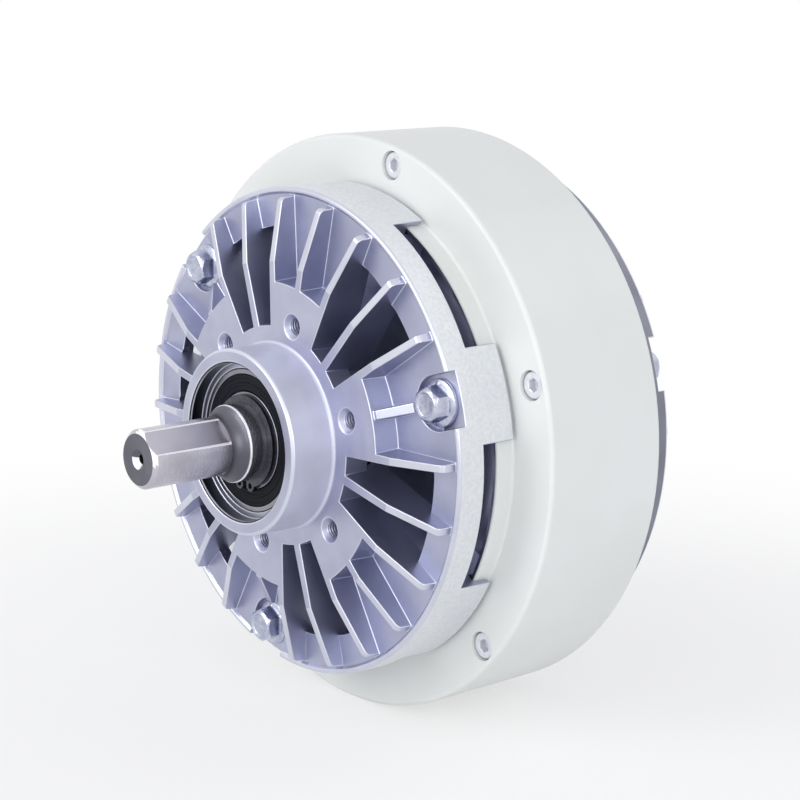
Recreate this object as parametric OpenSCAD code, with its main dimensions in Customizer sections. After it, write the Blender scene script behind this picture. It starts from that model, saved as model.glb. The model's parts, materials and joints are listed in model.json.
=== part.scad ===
// Single-shaft magnetic powder brake, in millimetres.
// The shaft lies along Y and points to -Y, +Z is up, and the origin is the centre of the mounting face.

/* [Angles] */
// Angle of the first bracket bolt above the horizontal
pattern_angle = 16.5; // [0:0.5:60]
// Angle that the flat of the shaft faces, above the horizontal
flat_angle = 46; // [0:1:180]
// Angle of the lead grommet round the housing
grommet_angle = 226.5; // [220:0.5:232]

/* [Housing] */
// Outer diameter of the painted housing
shell_d = 152; // [140:0.5:170]
// Length of the housing from front face to rear face
shell_l = 37.6; // [36:0.2:50]
// Radius on the outer edges of the housing
shell_edge = 1.2; // [0.4:0.1:1.2]
// Distance from the mounting face back to the housing's front face
shell_setback = 24.7; // [23.5:0.1:32]
// Thickness of the housing's front and rear walls
yoke_wall = 8.3; // [7.5:0.1:10]
// Thickness of the housing's outer wall
yoke_rim = 10; // [9.6:0.1:10.5]
// Depth of the recess that centres a bracket
register_depth = 2.5; // [2:0.1:3]
// Chamfer on the edge of that recess
register_edge = 0.8; // [0.3:0.1:1.2]
// Height of the collar round the front recess
collar_h = 5.2; // [3:0.1:6.5]
// Radius on the collar's outer edge
collar_edge = 0.6; // [0.2:0.1:0.8]
// Fillet at the foot of the collar
collar_fillet = 0.8; // [0.4:0.1:1]
// Wall of a bracket between its bolt holes and that recess
register_wall = 1; // [0.6:0.1:1.4]

/* [Brackets] */
// Width of the housing's face outside the front bracket
front_ledge = 12.5; // [9.5:0.1:13.5]
// Height of the front bracket's rim above the housing
rim_h = 18.4; // [17:0.1:20]
// Width of the housing's face outside the rear bracket
rear_ledge = 5.7; // [5:0.1:7.5]
// Height of the rear bracket's rim above the housing
rear_rim_h = 8.9; // [8.5:0.1:11]
// Distance of the bracket bolts from the outside of the rim
bolt_inset = 7.2; // [6.8:0.1:7.6]
// Thickness of the rim
rim_wall = 3.2; // [2:0.1:4]
// Growth of the rim's radius towards the housing, from the draft of the casting
rim_draft = 0.5; // [0:0.1:1]
// Radius on the rim's edge
rim_edge = 0.8; // [0.3:0.1:1]
// Height of the rim's edge above the floor between the fins
brim_h = 0.7; // [0.3:0.1:1.2]
// Width of that edge
brim_w = 1.2; // [1.2:0.1:2]
// Thickness of the floor between the fins
floor_t = 3; // [2.8:0.1:3.4]
// Height of the front vents above the feet's ends
vent_h = 9.5; // [5:0.1:10]
// Height of the rear vents above the feet's ends
rear_vent_h = 3; // [2:0.1:3.2]
// Thickness of the front feet's skirt outside the collar
skirt_t = 1.3; // [1:0.1:1.6]
// Gap between the feet's outer ends and the housing
foot_gap = 1.2; // [0.6:0.1:2]
// Half the angle of a foot with a bolt
bolt_foot = 10.7; // [9.5:0.1:14]
// Half the angle of a foot between bolts
plain_foot = 14.6; // [8:0.1:18]
// Thickness of a foot, from its outside inwards
foot_t = 13.5; // [12.5:0.1:13.8]

/* [Fins] */
// Thickness of a fin's top at its tip
fin_t = 1.6; // [1.2:0.1:2.2]
// Thickness of a fin's top at the inner end of a slot
fin_in_t = 2.5; // [2.2:0.1:3]
// How much thicker a fin is at its root
fin_draft = 1.2; // [0.6:0.1:1.6]
// Distance of a fin's tip from the outside of the rim
fin_inset = 2.5; // [2:0.1:4]
// Height of a fin's tip above the rim
fin_tip_h = 3.4; // [1:0.1:3.6]
// Radius on a fin's tip
fin_tip_r = 1.5; // [0.5:0.1:2]
// Distance from the outside of the rim at which a fin begins to fall
fin_fall = 18.5; // [12:0.5:20]
// Depth of the fins below the mounting face, at the hub
fin_depth = 13; // [12:0.1:15]
// Depth of the rear bracket's fins
rear_fin_depth = 9; // [8:0.1:10]
// Inner radius of the open slots between fins
slot_in_r = 28.5; // [28:0.1:31]
// Width of the closed floor outside the slots
slot_rim = 10; // [8:0.1:12]

/* [Mounting] */
// Diameter of the locating hub
hub_d = 48; // [46:0.2:50]
// Height of the hub above the mounting face
hub_h = 13; // [11:0.1:16]
// Chamfer on the hub's edges
hub_edge = 0.6; // [0.2:0.1:1]
// Fillet at the foot of the hub
hub_fillet = 1; // [0.4:0.1:1.5]
// Diameter of the recess in front of the bearing
recess_d = 40.4; // [38.5:0.1:42]
// Depth of the recess in front of the bearing
recess_depth = 4; // [2.5:0.1:6]
// Diameter of the flat mounting ring
ring_d = 80; // [76:0.5:82]
// Thickness of the mounting ring
ring_t = 7; // [6:0.1:7.2]
// Thickness of the wall from the mounting ring to the floor
ring_wall = 3; // [2.5:0.1:4]
// Growth of that wall's radius towards the floor
ring_draft = 0.4; // [0.2:0.1:2]
// Diameter of the circle of mounting holes
mount_circle_d = 60; // [57:0.5:64]
// Diameter of the mounting holes
mount_hole_d = 4.2; // [3.3:0.1:6]
// Diameter of the countersinks of the mounting holes
mount_sink_d = 6.6; // [6.2:0.1:7]

/* [Shaft] */
// Diameter of the output end
end_d = 15; // [12:0.1:17]
// Length of the output end beyond the hub
end_l = 29.3; // [26:0.1:45]
// Depth of the flat
flat_depth = 1; // [0.5:0.1:2]
// Length of the flat
flat_l = 22.8; // [12:0.1:23]
// Chamfer at the shaft's ends
end_chamfer = 1; // [0.4:0.1:1.5]
// Diameter of the centre hole
centre_d = 5; // [3:0.1:6]
// How far the bearing seat stands out of the hub
seat_lead = 2.4; // [0.5:0.1:3]
// Fillet of the neck between the output end and the bearing seat
neck_fillet = 4.4; // [4:0.1:5]
// Chamfer on the front edge of the bearing seat
seat_edge = 0.3; // [0.1:0.1:0.6]
// Diameter of the shaft between the bearings
shaft_d = 23; // [22.4:0.1:24]
// Diameter of the shoulder that stops the rotor
stop_d = 29; // [27:0.1:32]
// Width of that shoulder
stop_w = 2; // [1:0.1:2.5]

/* [Bearings] */
// Bore of both bearings
bearing_bore = 20; // [19.6:0.1:20.4]
// Outer diameter of both bearings
bearing_d = 37; // [36.6:0.1:37.4]
// Width of both bearings
bearing_w = 9; // [8.6:0.1:10]
// Diameter of the balls
ball_d = 4.76; // [4.5:0.01:5]
// Number of balls
ball_count = 11; // [9:1:12]
// Thickness of a bearing's rubber seal
seal_t = 1; // [0.6:0.1:1.2]
// Thickness of the lip behind a bearing
lip_t = 2; // [1.5:0.1:3]
// Height of the lip behind a bearing
lip_h = 1.9; // [1:0.1:2.4]

/* [Field and rotor] */
// Wall between the bracket bolts and the pole rings
pole_wall = 3.8; // [3.3:0.1:4.8]
// Thickness of the pole rings
pole_t = 4.5; // [4:0.1:5]
// Width of the non-magnetic ring between the pole rings
spacer_w = 5; // [3:0.1:8]
// Working gap between pole rings and rotor
work_gap = 1; // [0.8:0.05:1.5]
// Depth of the powder charge in the working gap
powder_t = 0.6; // [0.3:0.05:0.7]
// Space between the rotor and each chamber plate
side_gap = 2.8; // [1.5:0.1:4]
// Thickness of the rotor's steel ring
rotor_t = 7.5; // [5:0.1:9]
// Thickness of the flanges that join rotor ring and rotor hub
flange_t = 4.5; // [3:0.1:5]
// Height of the flange inside the rotor ring
flange_h = 6.5; // [6.2:0.1:8]
// Outer diameter of the rotor hub
rotor_hub_d = 38; // [36:0.2:42]
// Length of the rotor hub
rotor_hub_l = 16; // [14:0.1:16]
// Thickness of the coil bobbin's walls
bobbin_t = 1.5; // [1:0.1:2]
// Space outside the coil's winding
coil_gap = 1.5; // [0.5:0.1:3]
// Outer diameter of the powder seals
powder_seal_d = 30; // [28:0.1:31]
// Width of the powder seals
powder_seal_w = 5; // [4:0.1:5.2]
// Thickness of the wall round a powder seal
seal_wall = 2.5; // [1.5:0.1:3]

/* [Fasteners] */
// Thread diameter of the bracket bolts
bolt_d = 5; // [4.5:0.1:5.2]
// Width across flats of the bracket bolts
bolt_flats = 8; // [7:0.1:9]
// Flange diameter of the bracket bolts
bolt_flange_d = 11.8; // [10.5:0.1:12.4]
// Height of the bracket bolts' heads
bolt_head_h = 5.6; // [4.5:0.1:6.5]
// Diameter of the spot faces under the bracket bolts
spot_d = 13.6; // [13:0.1:14]
// Depth of the spot faces below the rim
spot_depth = 2.7; // [1.5:0.1:3]
// Distance of the housing screws from the outside of the housing
screw_inset = 5; // [4.7:0.1:5.3]
// Thread diameter of the housing screws
screw_d = 4; // [3.5:0.1:4.4]
// Head diameter of the housing screws
screw_head_d = 7; // [6.4:0.1:7.2]
// Depth of the housing screws' heads below the face
screw_sink = 0.8; // [0.2:0.1:1.5]
// Thread diameter of the chamber plate screws
plate_screw_d = 2; // [1.6:0.1:2.4]
// Thread diameter of the rotor and cap screws
small_screw_d = 3; // [2.5:0.1:3.2]
// Thickness of the retaining rings
circlip_t = 1.2; // [1:0.1:1.5]
// Radial width of the retaining rings
circlip_w = 2.4; // [2:0.1:2.8]

/* [Rear cap and grommet] */
// Diameter of the rear cap
cap_d = 52; // [51:0.2:54]
// Thickness of the rear cap
cap_t = 2.5; // [2:0.1:4]
// Height of the spigot that holds the rear bearing
cap_spigot = 1; // [0.5:0.1:2]
// Diameter of the grommet in the housing's wall
grommet_d = 7; // [6:0.1:8]
// Diameter of the grommet's flange
grommet_flange_d = 11; // [10:0.1:12]
// Diameter of the hole for the leads
grommet_bore_d = 3.6; // [2.5:0.1:4]

/* [Clearances] */
// Radial clearance of seats, spigots and threads
seat_gap = 0.03; // [0.02:0.01:0.06]
// Radial clearance of running fits
run_gap = 0.08; // [0.05:0.01:0.1]
// Clearance of holes that a screw passes through
hole_gap = 0.25; // [0.15:0.05:0.4]
// Clearance of a bracket in the housing's recess
register_gap = 0.1; // [0.05:0.01:0.2]
// Clearance of a bracket round and before the housing's collar
collar_gap = 0.4; // [0.2:0.05:0.6]

/* [Hidden] */
$fn = 96;
// A cut runs this far past the face that it opens.
over = 1;
// How far one part of a casting reaches into the next, so that they join.
sink = 1;
// How much thicker a bracket's floor is beside its rim.
band_step = 0.5;
// How far the rib beside a bolt starts below the mounting ring.
rib_drop = 0.8;
bolt_count = 3;
fin_count = 24;
// First and last open pocket of each run between two bolts, counted in fins from the first bolt.
open_runs = [[1, 2], [5, 6]];
mount_hole_count = 6;
screw_count = 6;
plate_screw_count = 4;
rotor_screw_count = 6;
cap_screw_count = 3;

fin_pitch = 360 / fin_count;
bolt_pitch = 360 / bolt_count;
// The vents lie between a foot with a bolt and the next foot without one.
vent_half = (bolt_pitch / 2 - bolt_foot - plain_foot) / 2;
vent_middle = bolt_foot + vent_half;
shell_r = shell_d / 2;
rim_r = shell_r - front_ledge;
rear_rim_r = shell_r - rear_ledge;
hub_r = hub_d / 2;
ring_r = ring_d / 2;
bolt_r = rim_r - bolt_inset;
rear_bolt_r = rear_rim_r - bolt_inset;
// The housing's recess clears the bolts of the bracket that it centres.
bolt_hole_r = bolt_d / 2 + hole_gap;
register_r = bolt_r + bolt_hole_r + register_wall + register_gap;
rear_register_r = rear_bolt_r + bolt_hole_r + register_wall + register_gap;
// The collar stands inside the skirt of the front feet.
collar_r = rim_r + rim_draft - skirt_t - collar_gap;

// Places along the shaft, positive to the rear of the mounting face.
shell_front = shell_setback;
shell_rear = shell_front + shell_l;
collar_front = shell_front - collar_h;
split_at = shell_rear - yoke_wall;
coil_front = shell_front + yoke_wall;
pole_front = shell_front + register_depth;
pole_rear = shell_rear - register_depth;
middle = (shell_front + shell_rear) / 2;
hub_front = -hub_h;
bearing_front = hub_front + recess_depth;
bearing_front_end = bearing_front + bearing_w;
hub_back = max(ring_t, bearing_front_end + lip_t);
rear_hub_gap = 0.5;
rear_bearing_front = shell_rear + rear_hub_gap + lip_t;
rear_bearing_end = rear_bearing_front + bearing_w;
rear_face = rear_bearing_end + cap_spigot;
rear_ring_h = rear_face - shell_rear;
shaft_tip = hub_front - end_l;
shaft_end = rear_bearing_end + 2 * circlip_t + end_chamfer;

// Bearing rings: the lands lie either side of the ball circle.
pitch_r = (bearing_bore + bearing_d) / 4;
ball_r = ball_d / 2;
land_share = 0.69;
land_h = land_share * ball_r;
inner_land_r = pitch_r - land_h;
outer_land_r = pitch_r + land_h;
seal_share = 0.45;
seal_seat_r = outer_land_r + seal_share * (bearing_d / 2 - outer_land_r);
lip_r = bearing_d / 2 - lip_h;

// Field and rotor.
pole_r = bolt_r - bolt_d / 2 - pole_wall;
pole_bore_r = pole_r - pole_t;
coil_out_r = shell_r - yoke_rim;
rotor_r = pole_bore_r - work_gap;
rotor_bore_r = rotor_r - rotor_t;
rotor_front = pole_front + side_gap;
rotor_rear = pole_rear - side_gap;
flange_r = rotor_bore_r - flange_h;
rotor_screw_r = (flange_r + rotor_bore_r) / 2;
rotor_hub_front = middle - rotor_hub_l / 2;
rotor_hub_rear = middle + rotor_hub_l / 2;
// A chamber plate covers its pole ring's end, with a thin lip in front of its seal.
plate_edge = 0.4;
plate_r = pole_r + plate_edge;
plate_lip = 1.2;
plate_gap = 1;
plate_screw_r = (pole_bore_r + pole_r) / 2;
plate_screw_l = 7;
key_w = 6;
key_depth = 3.5;
key_h = 6;
key_end = 1;
key_l = rotor_hub_l - 2 * key_end;

// Retaining rings sit in grooves half a millimetre deep.
groove_depth = 0.5;
groove_gap = 0.05;

// Housing screws: cap heads as high as their thread is wide.
screw_r = shell_r - screw_inset;
screw_seat = shell_front + screw_sink + screw_d;
screw_wall = 2;
screw_tip = shell_rear - screw_wall;
bolt_wall = 0.8;
bolt_grip = yoke_wall - register_depth - bolt_wall;
// A tapped hole is this much deeper than its screw.
drill_gap = 0.5;
small_head_d = 1.8 * small_screw_d;

// The rear cap leaves room for the shaft's end and its retaining ring.
cap_edge = 1;
cap_room = 5;
cap_room_r = bearing_bore / 2 + cap_room;
cap_wall = 1.6;
cap_dome_r = cap_room_r + cap_wall;
end_room = 1.5;
cap_inside = shaft_end + end_room;
cap_screw_inset = 3.35;
cap_screw_r = cap_d / 2 - cap_screw_inset;
cap_screw_l = 6;

// The grommet's flange sits in a spot face on the housing.
grommet_sink = 0.7;
grommet_seat = shell_r - grommet_sink;
grommet_flange_t = 1.6;

// Points of an arc round a centre, in steps.
function arc(centre, radius, from, to, steps = 6) = [
    for (i = [0:steps])
        centre + radius * [cos(from + (to - from) * i / steps), sin(from + (to - from) * i / steps)]
];

// Turns what is built along Z to lie along the shaft, with Z to the rear.
module along_shaft() {
    rotate([-90, 0, 0]) children();
}

// Copies round the shaft, starting at an angle above the horizontal.
module around(count, start = pattern_angle) {
    for (i = [0:count - 1])
        rotate([0, 0, i * 360 / count - start]) children();
}

// A ring with a square section.
module ring(inner_r, outer_r, from, to) {
    rotate_extrude()
        translate([inner_r, from])
            square([outer_r - inner_r, to - from]);
}

// A sector of a ring, centred on the X axis.
module sector(half_angle, inner_r, outer_r, from, to) {
    rotate([0, 0, -half_angle])
        rotate_extrude(angle = 2 * half_angle)
            translate([inner_r, from])
                square([outer_r - inner_r, to - from]);
}

// One side of a fin along X, with all that lies beyond it: it leans out to its root and in to its tip.
module fin_side(tip_r, top_h, depth) {
    taper = atan((fin_in_t - fin_t) / 2 / (tip_r - slot_in_r));
    half = fin_t / 2 + tip_r * tan(taper);
    lean = fin_draft / 2 / depth;
    rotate([0, 0, -taper])
        rotate([90, 0, 90])
            linear_extrude(shell_r)
                polygon([
                    [-shell_r, top_h + over], [half - lean * over, top_h + over],
                    [half + lean * (depth + over), top_h - depth - over],
                    [-shell_r, top_h - depth - over]
                ]);
}

// One fin along X: a side outline between two sides.
module fin(outline, tip_r, top_h, depth) {
    intersection() {
        rotate([90, 0, 0])
            linear_extrude(4 * fin_in_t, center = true)
                polygon(outline);
        fin_side(tip_r, top_h, depth);
        mirror([0, 1, 0]) fin_side(tip_r, top_h, depth);
    }
}

// The finned dish of a bracket, standing on the housing's face with its rim up.
// A pocket with a vent parts each foot from the next, and the feet reach over a collar.
module finned_dish(rim, height, ring_h, vent, depth, register, collar) {
    floor_top = height - brim_h;
    floor_under = floor_top - floor_t;
    floor_middle = floor_top - floor_t / 2;
    pocket_top = floor_under - band_step;
    wall_in_r = rim - rim_wall;
    foot_in_r = rim - foot_t;
    skirt_in_r = rim + rim_draft - skirt_t;
    register_in_r = max(plate_r, foot_in_r) + register_gap;
    tip_r = rim - fin_inset;
    tip_h = min(height + fin_tip_h, ring_h);
    rib_end = bolt_r_of(rim) - spot_d / 2 + sink;
    difference() {
        rotate_extrude()
            polygon(concat(
                [
                    [0, ring_h], [ring_r, ring_h], [ring_r + ring_draft, floor_top],
                    [rim - brim_w - brim_h, floor_top], [rim - brim_w, height]
                ],
                arc([rim - rim_edge, height - rim_edge], rim_edge, 90, 0),
                [[rim + rim_draft, foot_gap]],
                collar == 0 ? [[register, foot_gap]] : [
                    [skirt_in_r, foot_gap], [skirt_in_r, collar + collar_gap], [register, collar + collar_gap]
                ],
                [
                    [register, -register_depth], [register_in_r, -register_depth],
                    [register_in_r, foot_gap], [foot_in_r, foot_gap], [foot_in_r, floor_under],
                    [ring_r - ring_wall, floor_under], [ring_r - ring_wall, ring_h - ring_t],
                    [0, ring_h - ring_t]
                ]
            ));
        for (bolt = [0:bolt_count - 1], run = open_runs)
            rotate([0, 0, bolt * bolt_pitch + (run[0] + run[1] + 1) / 2 * fin_pitch])
                sector((run[1] + 1 - run[0]) * fin_pitch / 2, slot_in_r, rim - slot_rim, 0, ring_h + over);
        for (bolt = [0:bolt_count - 1], side = [-1, 1])
            rotate([0, 0, bolt * bolt_pitch + side * vent_middle - vent_half])
                rotate_extrude(angle = 2 * vent_half)
                    polygon([
                        [foot_in_r - over, -register_depth - over], [rim + rim_wall, -register_depth - over],
                        [rim + rim_wall, foot_gap + vent], [wall_in_r, foot_gap + vent],
                        [wall_in_r, pocket_top], [foot_in_r - over, pocket_top]
                    ]);
    }
    for (i = [0:fin_count - 1])
        rotate([0, 0, i * fin_pitch])
            if (i % (fin_count / bolt_count) != 0)
                fin(concat(
                    [[slot_in_r - sink, ring_h], [rim - fin_fall, ring_h]],
                    arc([tip_r - fin_tip_r, tip_h - fin_tip_r], fin_tip_r, 80, 0, 4),
                    [
                        [tip_r + sink / 2, floor_middle], [(rim + wall_in_r) / 2, floor_middle],
                        [slot_in_r - sink, ring_h - depth]
                    ]
                ), tip_r, ring_h, depth);
            else
                fin([
                    [ring_r - sink, ring_h - rib_drop], [ring_r + sink, ring_h - rib_drop],
                    [rib_end, height], [rib_end, floor_middle], [ring_r - sink, floor_middle]
                ], tip_r, ring_h, depth);
}

// Circle of the bolts inside a rim.
function bolt_r_of(rim) = rim - bolt_inset;

// Holes of a bracket's bolts, and spot faces that run out through the rim.
module bolt_cuts(rim, height) {
    around(bolt_count, 0)
        translate([bolt_r_of(rim), 0, 0]) {
            translate([0, 0, -register_depth - over])
                cylinder(h = height + register_depth + 2 * over, r = bolt_hole_r);
            translate([0, 0, height - spot_depth])
                linear_extrude(spot_depth + ring_t)
                    union() {
                        circle(d = spot_d);
                        translate([0, -spot_d / 2])
                            square([bolt_inset + rim_wall, spot_d]);
                    }
        }
}

module front_bracket() {
    color("lightsteelblue")
        along_shaft()
            difference() {
                union() {
                    rotate([0, 0, -pattern_angle])
                        translate([0, 0, shell_front])
                            mirror([0, 0, 1])
                                difference() {
                                    finned_dish(rim_r, rim_h, shell_setback, vent_h, fin_depth,
                                        register_r - register_gap, collar_h);
                                    bolt_cuts(rim_r, rim_h);
                                }
                    rotate_extrude()
                        polygon(concat(
                            [
                                [0, hub_back], [hub_r, hub_back], [hub_r + hub_fillet, ring_t / 2],
                                [hub_r + hub_fillet, 0]
                            ],
                            arc([hub_r + hub_fillet, -hub_fillet], hub_fillet, 90, 180),
                            [[hub_r, hub_front + hub_edge], [hub_r - hub_edge, hub_front], [0, hub_front]]
                        ));
                }
                rotate_extrude()
                    polygon([
                        [0, hub_front - over], [recess_d / 2 + hub_edge + over, hub_front - over],
                        [recess_d / 2, hub_front + hub_edge], [recess_d / 2, bearing_front],
                        [bearing_d / 2 + seat_gap, bearing_front],
                        [bearing_d / 2 + seat_gap, bearing_front_end], [lip_r, bearing_front_end],
                        [lip_r, hub_back + fin_depth], [0, hub_back + fin_depth]
                    ]);
                around(mount_hole_count)
                    translate([mount_circle_d / 2, 0, 0])
                        mount_hole();
            }
}

// A tapped hole through the mounting ring, with its countersink.
module mount_hole() {
    translate([0, 0, -over])
        cylinder(h = fin_depth + ring_t, d = mount_hole_d);
    sink_depth = (mount_sink_d - mount_hole_d) / 2;
    translate([0, 0, -sink_depth])
        cylinder(h = 2 * sink_depth, d1 = mount_sink_d + 2 * sink_depth, d2 = mount_hole_d);
}

module rear_bracket() {
    color("lightsteelblue")
        along_shaft()
            difference() {
                union() {
                    rotate([0, 0, -pattern_angle])
                        translate([0, 0, shell_rear])
                            difference() {
                                finned_dish(rear_rim_r, rear_rim_h, rear_ring_h, rear_vent_h,
                                    rear_fin_depth, rear_register_r - register_gap, 0);
                                bolt_cuts(rear_rim_r, rear_rim_h);
                            }
                    ring(0, hub_r, shell_rear + rear_hub_gap, rear_face);
                }
                ring(0, lip_r, shell_rear - over, rear_face + over);
                ring(0, bearing_d / 2 + seat_gap, rear_bearing_front, rear_face + over);
                around(cap_screw_count)
                    translate([cap_screw_r, 0, rear_face - cap_screw_l])
                        cylinder(h = cap_screw_l + over, d = small_screw_d + 2 * seat_gap);
            }
}

module front_yoke() {
    color("whitesmoke")
        along_shaft()
            difference() {
                rotate_extrude()
                    polygon(concat(
                        [
                            [pole_r + seat_gap, coil_front], [pole_r + seat_gap, pole_front],
                            [register_r, pole_front], [register_r, collar_front + register_edge],
                            [register_r + register_edge, collar_front]
                        ],
                        arc([collar_r - collar_edge, collar_front + collar_edge], collar_edge, -90, 0),
                        arc([collar_r + collar_fillet, shell_front - collar_fillet], collar_fillet, 180, 90),
                        arc([shell_r - shell_edge, shell_front + shell_edge], shell_edge, -90, 0),
                        [[shell_r, split_at], [coil_out_r, split_at], [coil_out_r, coil_front]]
                    ));
                around(screw_count)
                    translate([screw_r, 0, 0]) {
                        translate([0, 0, shell_front - over])
                            cylinder(h = screw_seat - shell_front + over, d = screw_head_d + 2 * hole_gap);
                        translate([0, 0, shell_front])
                            cylinder(h = shell_l, d = screw_d + 2 * hole_gap);
                    }
                around(bolt_count)
                    translate([bolt_r, 0, pole_front - over])
                        cylinder(h = bolt_grip + drill_gap + over, r = bolt_d / 2 + seat_gap);
                at_grommet() {
                    translate([0, 0, coil_out_r - over])
                        cylinder(h = yoke_rim + 2 * over, d = grommet_d + 2 * seat_gap);
                    translate([0, 0, grommet_seat])
                        cylinder(h = yoke_rim, d = grommet_flange_d + 2 * hole_gap);
                }
            }
}

module rear_yoke() {
    color("whitesmoke")
        along_shaft()
            difference() {
                rotate_extrude()
                    polygon(concat(
                        [
                            [pole_r + seat_gap, pole_rear], [pole_r + seat_gap, split_at],
                            [shell_r, split_at]
                        ],
                        arc([shell_r - shell_edge, shell_rear - shell_edge], shell_edge, 0, 90),
                        [
                            [rear_register_r + register_edge, shell_rear],
                            [rear_register_r, shell_rear - register_edge], [rear_register_r, pole_rear]
                        ]
                    ));
                around(screw_count)
                    translate([screw_r, 0, split_at - over])
                        cylinder(h = screw_tip - split_at + drill_gap + over, d = screw_d + 2 * seat_gap);
                around(bolt_count)
                    translate([rear_bolt_r, 0, pole_rear - bolt_grip - drill_gap])
                        cylinder(h = bolt_grip + drill_gap + over, r = bolt_d / 2 + seat_gap);
            }
}

module coil_bobbin() {
    color("black")
        along_shaft()
            difference() {
                ring(pole_r + run_gap, coil_out_r - run_gap, coil_front, split_at);
                ring(pole_r + run_gap + bobbin_t, shell_r, coil_front + bobbin_t, split_at - bobbin_t);
            }
}

module field_coil() {
    color("peru")
        along_shaft()
            ring(pole_r + run_gap + bobbin_t, coil_out_r - coil_gap, coil_front + bobbin_t,
                split_at - bobbin_t);
}

// A steel pole ring with the tapped holes of a chamber plate in its outer end.
module pole_ring(outer_end, inner_end) {
    drill = plate_screw_l + drill_gap;
    difference() {
        ring(pole_bore_r, pole_r, min(outer_end, inner_end), max(outer_end, inner_end));
        around(plate_screw_count)
            translate([plate_screw_r, 0, outer_end])
                cylinder(h = 2 * drill, d = plate_screw_d + 2 * seat_gap, center = true);
    }
}

module front_pole_ring() {
    color("dimgray") along_shaft() pole_ring(pole_front, middle - spacer_w / 2);
}

module pole_spacer() {
    color("goldenrod")
        along_shaft() ring(pole_bore_r, pole_r, middle - spacer_w / 2, middle + spacer_w / 2);
}

module rear_pole_ring() {
    color("dimgray") along_shaft() pole_ring(pole_rear, middle + spacer_w / 2);
}

// Black iron powder, held against the pole rings by the field.
module magnetic_powder() {
    color("black")
        along_shaft()
            ring(pole_bore_r - seat_gap - powder_t, pole_bore_r - seat_gap, rotor_front, rotor_rear);
}

// A chamber plate lies on a pole ring's end, with its seal housing towards the rotor.
module chamber_plate() {
    seat_r = powder_seal_d / 2;
    difference() {
        rotate_extrude()
            polygon([
                [0, 0], [plate_r, 0], [plate_r, register_depth], [seat_r + seal_wall, register_depth],
                [seat_r + seal_wall, plate_lip + powder_seal_w], [0, plate_lip + powder_seal_w]
            ]);
        ring(0, shaft_d / 2 + plate_gap, -over, shell_l);
        ring(0, seat_r + seat_gap, plate_lip, shell_l);
        around(plate_screw_count)
            translate([plate_screw_r, 0, 0])
                plate_screw_cut();
    }
}

// Space of a countersunk screw: head flush with the face, thread beyond.
module plate_screw_cut() {
    head_d = 2 * plate_screw_d;
    sink_depth = (head_d - plate_screw_d) / 2;
    translate([0, 0, -over])
        cylinder(h = shell_l, d = plate_screw_d + 2 * seat_gap);
    cylinder(h = sink_depth, d1 = head_d + 2 * seat_gap, d2 = plate_screw_d + 2 * seat_gap);
}

module front_chamber_plate() {
    color("silver") along_shaft() translate([0, 0, shell_front]) chamber_plate();
}

module rear_chamber_plate() {
    color("silver") along_shaft() translate([0, 0, shell_rear]) mirror([0, 0, 1]) chamber_plate();
}

// A rubber lip seal that wipes the shaft.
module powder_seal() {
    ring(shaft_d / 2 + run_gap, powder_seal_d / 2, plate_lip, plate_lip + powder_seal_w);
}

module front_powder_seal() {
    color("black") along_shaft() translate([0, 0, shell_front]) powder_seal();
}

module rear_powder_seal() {
    color("black") along_shaft() translate([0, 0, shell_rear]) mirror([0, 0, 1]) powder_seal();
}

// A countersunk screw with its head flush with the plate's face.
module plate_screw() {
    sink_depth = plate_screw_d / 2;
    cylinder(h = sink_depth, d1 = 2 * plate_screw_d, d2 = plate_screw_d);
    cylinder(h = register_depth + plate_screw_l, d = plate_screw_d);
}

module front_plate_screws() {
    color("gray")
        along_shaft()
            around(plate_screw_count)
                translate([plate_screw_r, 0, shell_front])
                    plate_screw();
}

module rear_plate_screws() {
    color("gray")
        along_shaft()
            around(plate_screw_count)
                translate([plate_screw_r, 0, shell_rear])
                    mirror([0, 0, 1])
                        plate_screw();
}

// A socket head cap screw, seated at zero with its head below.
module cap_screw(head_d, thread_d, length) {
    head_edge = 0.4;
    socket_w = 0.75 * thread_d;
    difference() {
        union() {
            rotate_extrude()
                polygon([
                    [0, -thread_d], [head_d / 2 - head_edge, -thread_d],
                    [head_d / 2, head_edge - thread_d], [head_d / 2, 0], [0, 0]
                ]);
            cylinder(h = length, d = thread_d);
        }
        translate([0, 0, -thread_d - over])
            cylinder(h = thread_d / 2 + over, d = socket_w / cos(30), $fn = 6);
    }
}

module yoke_screws() {
    color("silver")
        along_shaft()
            around(screw_count)
                translate([screw_r, 0, screw_seat])
                    cap_screw(screw_head_d, screw_d, screw_tip - screw_seat);
}

// A hex flange bolt, seated at zero with its head above.
module flange_bolt(length) {
    washer_h = 1.2;
    washer_edge = 0.3;
    crown = 0.6;
    hex_r = bolt_flats / 2 / cos(30);
    translate([0, 0, -length])
        cylinder(h = length + washer_h, d = bolt_d);
    rotate_extrude()
        polygon([
            [0, 0], [bolt_flange_d / 2 - washer_edge, 0], [bolt_flange_d / 2, washer_edge],
            [bolt_flange_d / 2, washer_edge + washer_h / 2], [bolt_flats / 2, 2 * washer_h],
            [0, 2 * washer_h]
        ]);
    intersection() {
        cylinder(h = bolt_head_h, r = hex_r, $fn = 6);
        rotate_extrude()
            polygon([
                [0, washer_h], [hex_r + over, washer_h], [hex_r + over, bolt_head_h - crown - over / 2],
                [bolt_flats / 2 - crown / 2, bolt_head_h], [0, bolt_head_h]
            ]);
    }
}

module front_bracket_bolts() {
    color("gainsboro")
        along_shaft()
            around(bolt_count)
                translate([bolt_r, 0, shell_front - rim_h + spot_depth])
                    mirror([0, 0, 1])
                        flange_bolt(rim_h - spot_depth + register_depth + bolt_grip);
}

module rear_bracket_bolts() {
    color("gainsboro")
        along_shaft()
            around(bolt_count)
                translate([rear_bolt_r, 0, shell_rear + rear_rim_h - spot_depth])
                    flange_bolt(rear_rim_h - spot_depth + register_depth + bolt_grip);
}

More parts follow.
